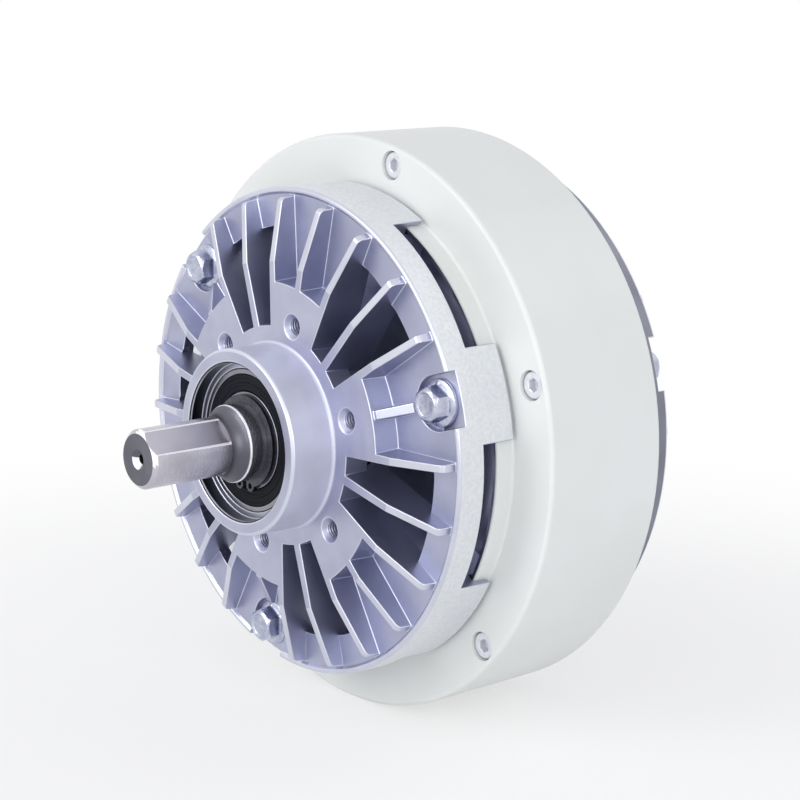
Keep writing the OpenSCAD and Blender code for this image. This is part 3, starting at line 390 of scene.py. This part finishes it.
def softened(node, width, regions=None, extras=(), segments=2, cuts=(), clamp=True):
    # the solid's own mesh, welded and cleared of flat triangles and folds, with every sharp edge rounded to a width
    # in mm: one number, or a function of the edges' middles and of which stand out
    mesh = nodes[node].data.copy()
    mesh.name = node + "Dressed"
    normals = mesh.attributes.get("custom_normal")
    if normals:
        mesh.attributes.remove(normals)
    work = bmesh.new()
    work.from_mesh(mesh)
    bmesh.ops.remove_doubles(work, verts=work.verts, dist=cleanSet["weld"] * mm)
    bmesh.ops.dissolve_degenerate(work, edges=work.edges, dist=cleanSet["weld"] * mm)
    folds = [edge for edge in work.edges if edge.calc_face_angle(0) > math.radians(cleanSet["foldTurn"])]
    bmesh.ops.dissolve_edges(work, edges=folds, use_verts=True)
    for level, start, sectors in cuts:
        cutFlat(work, level * mm, start, sectors)
    bmesh.ops.dissolve_limit(work, angle_limit=math.radians(cleanSet["flatTurn"]), verts=work.verts,
                             edges=work.edges, delimit={"MATERIAL"})
    work.to_mesh(mesh)
    work.free()
    middles, turn, stands = edgeFacts(mesh)
    sharp = (turn > cleanSet["sharpTurn"]) & (turn < cleanSet["foldTurn"])
    widths = np.where(sharp, width(middles, stands) if callable(width) else width, 0)
    weight = mesh.attributes.new("bevel_weight_edge", "FLOAT", "EDGE")
    weight.data.foreach_set("value", widths / widths.max())
    mesh.edges.foreach_set("use_edge_sharp", sharp & (widths == 0))
    mesh.polygons.foreach_set("use_smooth", np.ones(len(mesh.polygons), bool))
    for finish in extras:
        mesh.materials.append(finish)
    chosen = np.zeros(len(mesh.polygons))
    if regions:
        chosen = regions(readAll(mesh.polygons, "center", 3) / mm, readAll(mesh.polygons, "normal", 3))
    mesh.polygons.foreach_set("material_index", chosen.astype(np.int32))
    piece = addPiece(node + "Dressed", mesh, bodyOf[node], [node])
    bevel = piece.modifiers.new("edges", "BEVEL")
    bevel.limit_method = "WEIGHT"
    bevel.width = widths.max() * mm
    bevel.segments = segments
    bevel.use_clamp_overlap = clamp
    even = piece.modifiers.new("evenNormals", "WEIGHTED_NORMAL")
    even.keep_sharp = True
    return bevel


def spots(circle, count):
    # middles of holes spread evenly round the shaft from the first bolt's angle
    turn = np.radians(firstBolt + np.arange(count) * 360 / count)
    return np.stack([circle * np.cos(turn), circle * np.sin(turn)], axis=-1)


# sizes in mm and degrees: heights are measured from the housing's face, insets inwards from the rim
bracketSet = {
    "front_bracket": {"base": 24.7, "toward": -1, "rim": 63.5, "rimTop": 18.4, "ringTop": 24.7},
    "rear_bracket": {"base": 62.3, "toward": 1, "rim": 70.3, "rimTop": 8.9, "ringTop": 12.5},
}
castStep = {"edge": 0.22, "brim": 0.7, "brimFoot": 1.9, "footGap": 0.2, "brimWidth": 1.3, "sideInset": 1,
            "spotDepth": 2.7, "ringReach": 40.5, "underInset": 4, "offFloor": 0.3, "levelGap": 0.05,
            "boltPitch": 120, "ribHalf": 4, "ribInset": 5, "sectors": 24}


def dressBracket(node, base, toward, rim, rimTop, ringTop):
    # the casting with its edges rounded, and each face given a finish by its level, its reach and where it faces
    floorTop, seat, near = rimTop - castStep["brim"], rimTop - castStep["spotDepth"], castStep["levelGap"]

    def place(points):
        # reach from the shaft and height above the housing
        return np.hypot(points[:, 0], points[:, 2]), (points[:, 1] - base) * toward

    def width(middles, stands):
        # all edges alike, but none under the plate, and none at the brim's foot, close behind the fins' ends
        reach, height = place(middles)
        behindFins = np.abs(reach - rim + castStep["brimFoot"]) < castStep["footGap"]
        foot = behindFins & (np.abs(height - floorTop) < near) & ~stands
        under = (reach < rim - castStep["underInset"]) & (height < floorTop - castStep["offFloor"])
        return np.where(foot | under, 0, castStep["edge"])

    def regions(centres, facing):
        # 0 tumbled casting, 1 the sandy outer side (at the rear a darker copy: painted shade), 2 faces cut on the
        # machine,
        # 3 proud faces, lighter as tumbled wear and as painted highlight, 4 the hub's side, 5 its bore, painted dark
        # as shade
        reach, height = place(centres)
        upward = facing[:, 1] * toward
        outward = (facing[:, 0] * centres[:, 0] + facing[:, 2] * centres[:, 2]) / reach
        side = (outward > 0.7) & (reach > rim - castStep["sideInset"])
        cut = (upward > 0.9) & ((height > ringTop - near) | (np.abs(height - seat) < near))
        hub = height > ringTop + near
        turn = np.degrees(np.arctan2(centres[:, 2], centres[:, 0])) - firstBolt
        half = castStep["boltPitch"] / 2
        onBoltLine = np.abs((turn + half) % castStep["boltPitch"] - half) < castStep["ribHalf"]
        rib = onBoltLine & (reach < rim - castStep["ribInset"])
        high = (height > floorTop + castStep["offFloor"]) | (reach > rim - castStep["brimWidth"])
        proud = (upward > 0.1) & high & (reach > castStep["ringReach"]) & ~rib
        kinds = [cut, hub & (outward < -0.3), hub & (outward > 0.5), hub, proud, side]
        return np.select(kinds, [2, 5, 4, 2, 3, 1], 0)

    # at the rear the outer side takes the darker copy, painted shade, in place of the sandy skin
    extras = [castSide if toward < 0 else castPaintedShade, machinedFace, castWornAndHighlight, hubSide, shadedBore]
    sectors = castStep["sectors"]
    cuts = [(base + toward * ringTop, firstBolt + 180 / sectors, sectors),
            (base + toward * floorTop, firstBolt, sectors)]
    bevel = softened(node, width, regions, extras, segments=3, cuts=cuts, clamp=False)
    # every rounded edge, the concave fillets at the fins' roots too, takes the lighter copy: a painted highlight
    bevel.material = 1 + extras.index(castWornAndHighlight)


for name, sizes in bracketSet.items():
    dressBracket(name, **sizes)

housingSet = {"joint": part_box("rear_yoke")[0].y / mm, "jointGap": 0.01, "edge": 0.3, "bareInside": 61.7,
              "face": 24.7, "faceGap": 0.1}


def housingEdges(middles, stands):
    # the joint between the two halves of the housing lies under the paint
    onJoint = np.abs(middles[:, 1] - housingSet["joint"]) < housingSet["jointGap"]
    return np.where(onJoint, 0, housingSet["edge"])


def housingRegions(centres, facing):
    # the collar's end and all that lies inside it is bare steel; the painted front face runs right round, so its
    # centre lies on the shaft and it is known by its level
    reach = np.hypot(centres[:, 0], centres[:, 2])
    face = np.abs(centres[:, 1] - housingSet["face"]) < housingSet["faceGap"]
    return ((reach < housingSet["bareInside"]) & ~face).astype(int)


softened("front_yoke", housingEdges, housingRegions, [bareSteel])
softened("rear_yoke", housingEdges)

shaftSet = {"paintedGlint": (0.35, 0.25), "tip": -42.2, "chamfer": 1.2, "centreHole": 3.0, "neck": (-19.15, -15.35),
            "neckRadius": 9.8, "flatTurn": 46, "flatEnd": -19.6, "flatReach": 6.5, "flatGap": 0.02,
            "flatFacing": 0.9995, "glintFacing": 0.45, "edgeInset": (1.5, 1.0), "rim": -15.35, "rimGap": 0.4,
            "rimReach": 9.5}
shaftExtras = [dullSteelAndShade, milledSteel, highlightSteel]


def towardFlat(arrows):
    # how far each arrow or place points the way that the flat faces
    turn = math.radians(shaftSet["flatTurn"])
    return arrows[:, 0] * math.cos(turn) + arrows[:, 2] * math.sin(turn)


def shaftRegions(centres, facing):
    # 0 ground diameters, 1 the sawn end, its centre hole and the turned neck, darker as a duller finish and as painted
    # shade, 2 the milled flat, 3 the chamfer that faces the flat, near white as a painted highlight, with a glint in
    # the hole
    reach, along = np.hypot(centres[:, 0], centres[:, 2]), centres[:, 1]
    neckStart, neckEnd = shaftSet["neck"]
    end = (along < shaftSet["tip"]) | ((reach < shaftSet["centreHole"]) & (along < neckStart))
    neck = (along > neckStart) & (along < neckEnd) & (reach < shaftSet["neckRadius"])
    flat = (towardFlat(facing) > shaftSet["flatFacing"]) & (along < shaftSet["flatEnd"])
    paintedGlint = (towardFlat(facing) > shaftSet["glintFacing"]) & (along < shaftSet["tip"] + shaftSet["chamfer"])
    return np.select([paintedGlint, end | neck, flat], [3, 1, 2], 0)


def shaftEdges(middles, stands):
    # only the flat's long edges and the seat's rim are rounded, and these rounds take a painted highlight
    along, reach = middles[:, 1], np.hypot(middles[:, 0], middles[:, 2])
    fromTip, fromEnd = shaftSet["edgeInset"]
    onFlat = np.abs(towardFlat(middles) - shaftSet["flatReach"]) < shaftSet["flatGap"]
    long = onFlat & (along < shaftSet["flatEnd"] - fromEnd) & (along > shaftSet["tip"] + fromTip)
    rim = (np.abs(along - shaftSet["rim"]) < shaftSet["rimGap"]) & (reach > shaftSet["rimReach"])
    return np.select([long, rim], shaftSet["paintedGlint"], 0)


shaftBevel = softened("shaft", shaftEdges, shaftRegions, shaftExtras, clamp=False)
# the rounds take the near white finish: a painted highlight
shaftBevel.material = 1 + shaftExtras.index(highlightSteel)

softEdges = {  # rounding in mm
    "front_bearing_outer_ring": 0.3, "front_bearing_inner_ring": 0.3, "rear_bearing_outer_ring": 0.3,
    "rear_bearing_inner_ring": 0.3, "front_shaft_circlip": 0.1, "rear_shaft_circlip": 0.1, "rear_cap": 0.4,
    "lead_grommet": 0.35,
}
for name, width in softEdges.items():
    softened(name, width)


# screws, seals and threads, each worked out on a grid

def ringAngles(columns):
    # even steps once round
    return np.linspace(0, 2 * math.pi, columns, endpoint=False)


def hexReach(columns, flats):
    # distance from a hexagon's middle to its side, in every direction
    return flats / 2 / np.abs(np.cos(ringAngles(columns)[:, None] - np.radians([0, 60, 120]))).max(axis=1)


def cells(rows, columns, loop=False):
    # four corners of each cell of a grid whose columns run right round, and its rows too where it is a loop
    row, column = np.meshgrid(np.arange(rows if loop else rows - 1), np.arange(columns), indexing="ij")
    nextRow, nextColumn = (row + 1) % rows, (column + 1) % columns
    corners = [row * columns + column, row * columns + nextColumn,
               nextRow * columns + nextColumn, nextRow * columns + column]
    return np.stack(corners, axis=-1).reshape(-1, 4)


def turnedSkin(reach, along, loop=False):
    # a skin round the Y axis: each row is a ring, given by its reach in every direction and its place along the axis
    angle = ringAngles(reach.shape[1])
    points = np.stack([reach * np.cos(angle), along + 0 * reach, reach * np.sin(angle)], axis=-1)
    return points.reshape(-1, 3), cells(*reach.shape, loop)


def setRound(skin, middles, seat, facing):
    # copies of one skin round the shaft, with its top towards -Y or +Y
    points, faces = skin
    places = np.stack([middles[:, 0], np.full(len(middles), seat), middles[:, 1]], axis=-1)
    copies = (points * (1, facing, 1) + places[:, None]).reshape(-1, 3)
    shifts = np.arange(len(middles))[:, None, None] * len(points)
    return copies, (faces + shifts).reshape(-1, 4)


def solidMesh(name, skin, crease=30):
    # a closed mesh from a skin in mm, with its poles welded and only its sharp edges left sharp
    points, faces = skin
    mesh = bpy.data.meshes.new(name)
    mesh.from_pydata((points * mm).tolist(), [], faces.tolist())
    work = bmesh.new()
    work.from_mesh(mesh)
    bmesh.ops.remove_doubles(work, verts=work.verts, dist=cleanSet["pole"] * mm)
    bmesh.ops.recalc_face_normals(work, faces=work.faces)
    work.to_mesh(mesh)
    work.free()
    mesh.polygons.foreach_set("use_smooth", np.ones(len(mesh.polygons), bool))
    mesh.set_sharp_from_angle(angle=math.radians(crease))
    return mesh


threadRows = 5  # rings in one pitch of a thread


def shankRows(columns, length, plain, radius, pitch, depth):
    # a screw's shank from its tip up: a thread that climbs one pitch a turn, then a plain neck under the head
    along = np.linspace(-length + pitch, -plain, int((length - plain) / pitch * threadRows))[:, None]
    climb = (along / pitch - ringAngles(columns) / (2 * math.pi)) % 1
    ridge = radius - depth * np.abs(2 * climb - 1)
    ends = np.array([[0], [radius - depth], [radius - depth]]) * np.ones(columns)
    neck = np.full((2, columns), radius)
    reach = np.concatenate([ends, ridge, neck])
    return reach, np.concatenate([[[-length], [-length], [-length + pitch / 2]], along, [[-plain + pitch / 2], [0]]])


def circles(profile, columns):
    # plain rings from pairs of reach and place along
    profile = np.array(profile)
    return profile[:, :1] * np.ones(columns), profile[:, 1:]


def joined(*parts):
    # rows of rings, one lot after another
    return np.concatenate([part[0] for part in parts]), np.concatenate([part[1] for part in parts])


flangeBolt = {"columns": 96, "flats": 8.0, "radius": 2.5, "pitch": 0.8, "depth": 0.3, "plain": 4.0,
              "flange": [(5.6, 0.0), (5.82, 0.08), (5.9, 0.3), (5.9, 0.8), (5.8, 1.05), (5.3, 1.32)],
              "sides": [(1.07, 1.55), (1.02, 1.8), (1.0, 2.1), (1.0, 4.5)],
              "chamfer": [(4.62, 4.6), (4.42, 4.78), (4.2, 4.96), (4.0, 5.13), (3.8, 5.29), (3.62, 5.43)],
              "dish": [(3.5, 5.52), (3.36, 5.58), (3.2, 5.6), (3.05, 5.57), (2.95, 5.48), (2.86, 5.34), (2.72, 5.24),
                       (2.5, 5.2), (0.0, 5.16)]}


def flangeBoltSkin(length, columns, flats, radius, pitch, depth, plain, flange, sides, chamfer, dish):
    # rings for shank, washer face and dished top; between them a hexagon, and its corners cut by a cone
    hexagon = hexReach(columns, flats)
    sides, chamfer = np.array(sides), np.array(chamfer)
    wall = hexagon * sides[:, :1], sides[:, 1:]
    cone = np.minimum(hexagon, chamfer[:, :1]), chamfer[:, 1:]
    return turnedSkin(*joined(shankRows(columns, length, plain, radius, pitch, depth), circles(flange, columns),
                              wall, cone, circles(dish, columns)))


# mm; foot: inset from the head's side and height above its seat, grip: the knurling's ends above the seat and below
# the top, crown: inset and drop below the top; thread depth is a share of the pitch, mouth of the socket's corners
capScrew = {"columns": 72, "knurl": 0.07, "plain": 3.0, "threadDepth": 0.35, "foot": [(0.3, 0.0), (0.07, 0.15)],
            "grip": (0.3, 0.75), "crown": [(0.07, 0.55), (0.14, 0.25), (0.4, 0.0)], "mouth": 1.05, "mouthDrop": 0.2,
            "key": 0.75, "cone": 0.3}


def capScrewSkin(length, head, thread, pitch, columns, knurl, plain, threadDepth, foot, grip, crown, mouth, mouthDrop,
                 key, cone):
    # a shank, a head as high as its thread is wide with a knurled side, and a hexagon socket half as deep
    top, depth, socket = head / 2, thread / 2, hexReach(columns, key * thread)
    side = np.where(np.arange(columns) % 2, top - knurl, top) * np.ones((2, 1))
    crownRings = [(top - inset, thread - drop) for inset, drop in crown]
    return turnedSkin(*joined(
        shankRows(columns, length, plain, thread / 2, pitch, threadDepth * pitch),
        circles([(top - inset, rise) for inset, rise in foot], columns),
        (side, np.array([[grip[0]], [thread - grip[1]]])),
        circles([*crownRings, (socket.max() * mouth, thread)], columns),
        (socket * np.ones((2, 1)), np.array([[thread - mouthDrop], [thread - depth]])),
        circles([(0, thread - depth - cone)], columns)))


fastenerSet = {
    "front_bracket_bolts": {"circle": 56.3, "count": 3, "seat": 9.0, "facing": -1, "size": {"length": 23.2}},
    "rear_bracket_bolts": {"circle": 63.1, "count": 3, "seat": 68.5, "facing": 1, "size": {"length": 13.7}},
    "yoke_screws": {"circle": 71.0, "count": 6, "seat": 29.5, "facing": -1,
                    "size": {"length": 30.8, "head": 7.0, "thread": 4.0, "pitch": 0.7}},
    "rear_cap_screws": {"circle": 22.65, "count": 3, "seat": 77.3, "facing": 1,
                        "size": {"length": 8.0, "head": 5.4, "thread": 3.0, "pitch": 0.5}},
}
for name, place in fastenerSet.items():
    size = place["size"]
    one = capScrewSkin(**size, **capScrew) if "head" in size else flangeBoltSkin(**size, **flangeBolt)
    skin = setRound(one, spots(place["circle"], place["count"]), place["seat"], place["facing"])
    mesh = solidMesh(name + "Detailed", skin)
    mesh.materials.append(screwSteel if name == "yoke_screws" else finishes[slotOf[name]])
    addPiece(name + "Detailed", mesh, bodyOf[name], [name])

# reach and depth below the bearing's side: an outer bead, a flat web, a second bead and the lip
sealSet = {"columns": 160,
           "section": [(17.05, 0.25), (16.9, 0.06), (16.5, 0.0), (16.1, 0.06), (15.95, 0.22), (15.6, 0.25),
                       (14.9, 0.25), (14.75, 0.1), (14.45, 0.02), (14.15, 0.1), (14.0, 0.28), (13.4, 0.3),
                       (13.15, 0.16), (12.95, 0.12), (12.8, 0.2), (12.77, 0.45), (12.95, 0.8), (13.3, 1.0),
                       (16.9, 1.0), (17.05, 0.8)]}


def sealPair(node, columns, section):
    # one section turned round the shaft, once inwards from each side of the bearing
    section = np.array(section)
    low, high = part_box(node)
    reach = section[:, :1] * np.ones(columns)
    front = turnedSkin(reach, low.y / mm + section[:, 1:], loop=True)
    rear = turnedSkin(reach, high.y / mm - section[:, 1:], loop=True)
    return np.concatenate([front[0], rear[0]]), np.concatenate([front[1], rear[1] + len(front[0])])


for name in ("front_bearing_seals", "rear_bearing_seals"):
    mesh = solidMesh(name + "Detailed", sealPair(name, **sealSet))
    mesh.materials.append(finishes["seal_rubber"])
    addPiece(name + "Detailed", mesh, bodyOf[name], [name])

tapPlaces = {"circle": 30.0, "count": 6}
tapSet = {"pitch": 0.8, "wall": 2.13, "crest": 1.96, "start": 1.35, "end": 6.4, "steps": 28, "width": 0.3,
          "fadeTurns": 0.25}


def tappedRidge(pitch, wall, crest, start, end, steps, width, fadeTurns):
    # a ridge with a three-cornered section that climbs the hole's wall and fades out at both ends
    turns = np.linspace(0, (end - start) / pitch, int((end - start) / pitch * steps))[:, None]
    fade = np.clip(np.minimum(turns, turns[-1] - turns) / fadeTurns, 0, 1)
    reach = wall - fade * np.array([0, wall - crest, 0])
    along = start + pitch * turns + fade * np.array([-width, 0, width])
    angle = 2 * math.pi * turns
    points = np.stack([reach * np.cos(angle), along, reach * np.sin(angle)], axis=-1)
    return points.reshape(-1, 3), cells(*reach.shape)


mesh = solidMesh("tappedThreads", setRound(tappedRidge(**tapSet), spots(**tapPlaces), 0, 1))
mesh.materials.append(machinedFace)
addPiece("tappedThreads", mesh, bodyOf["front_bracket"])
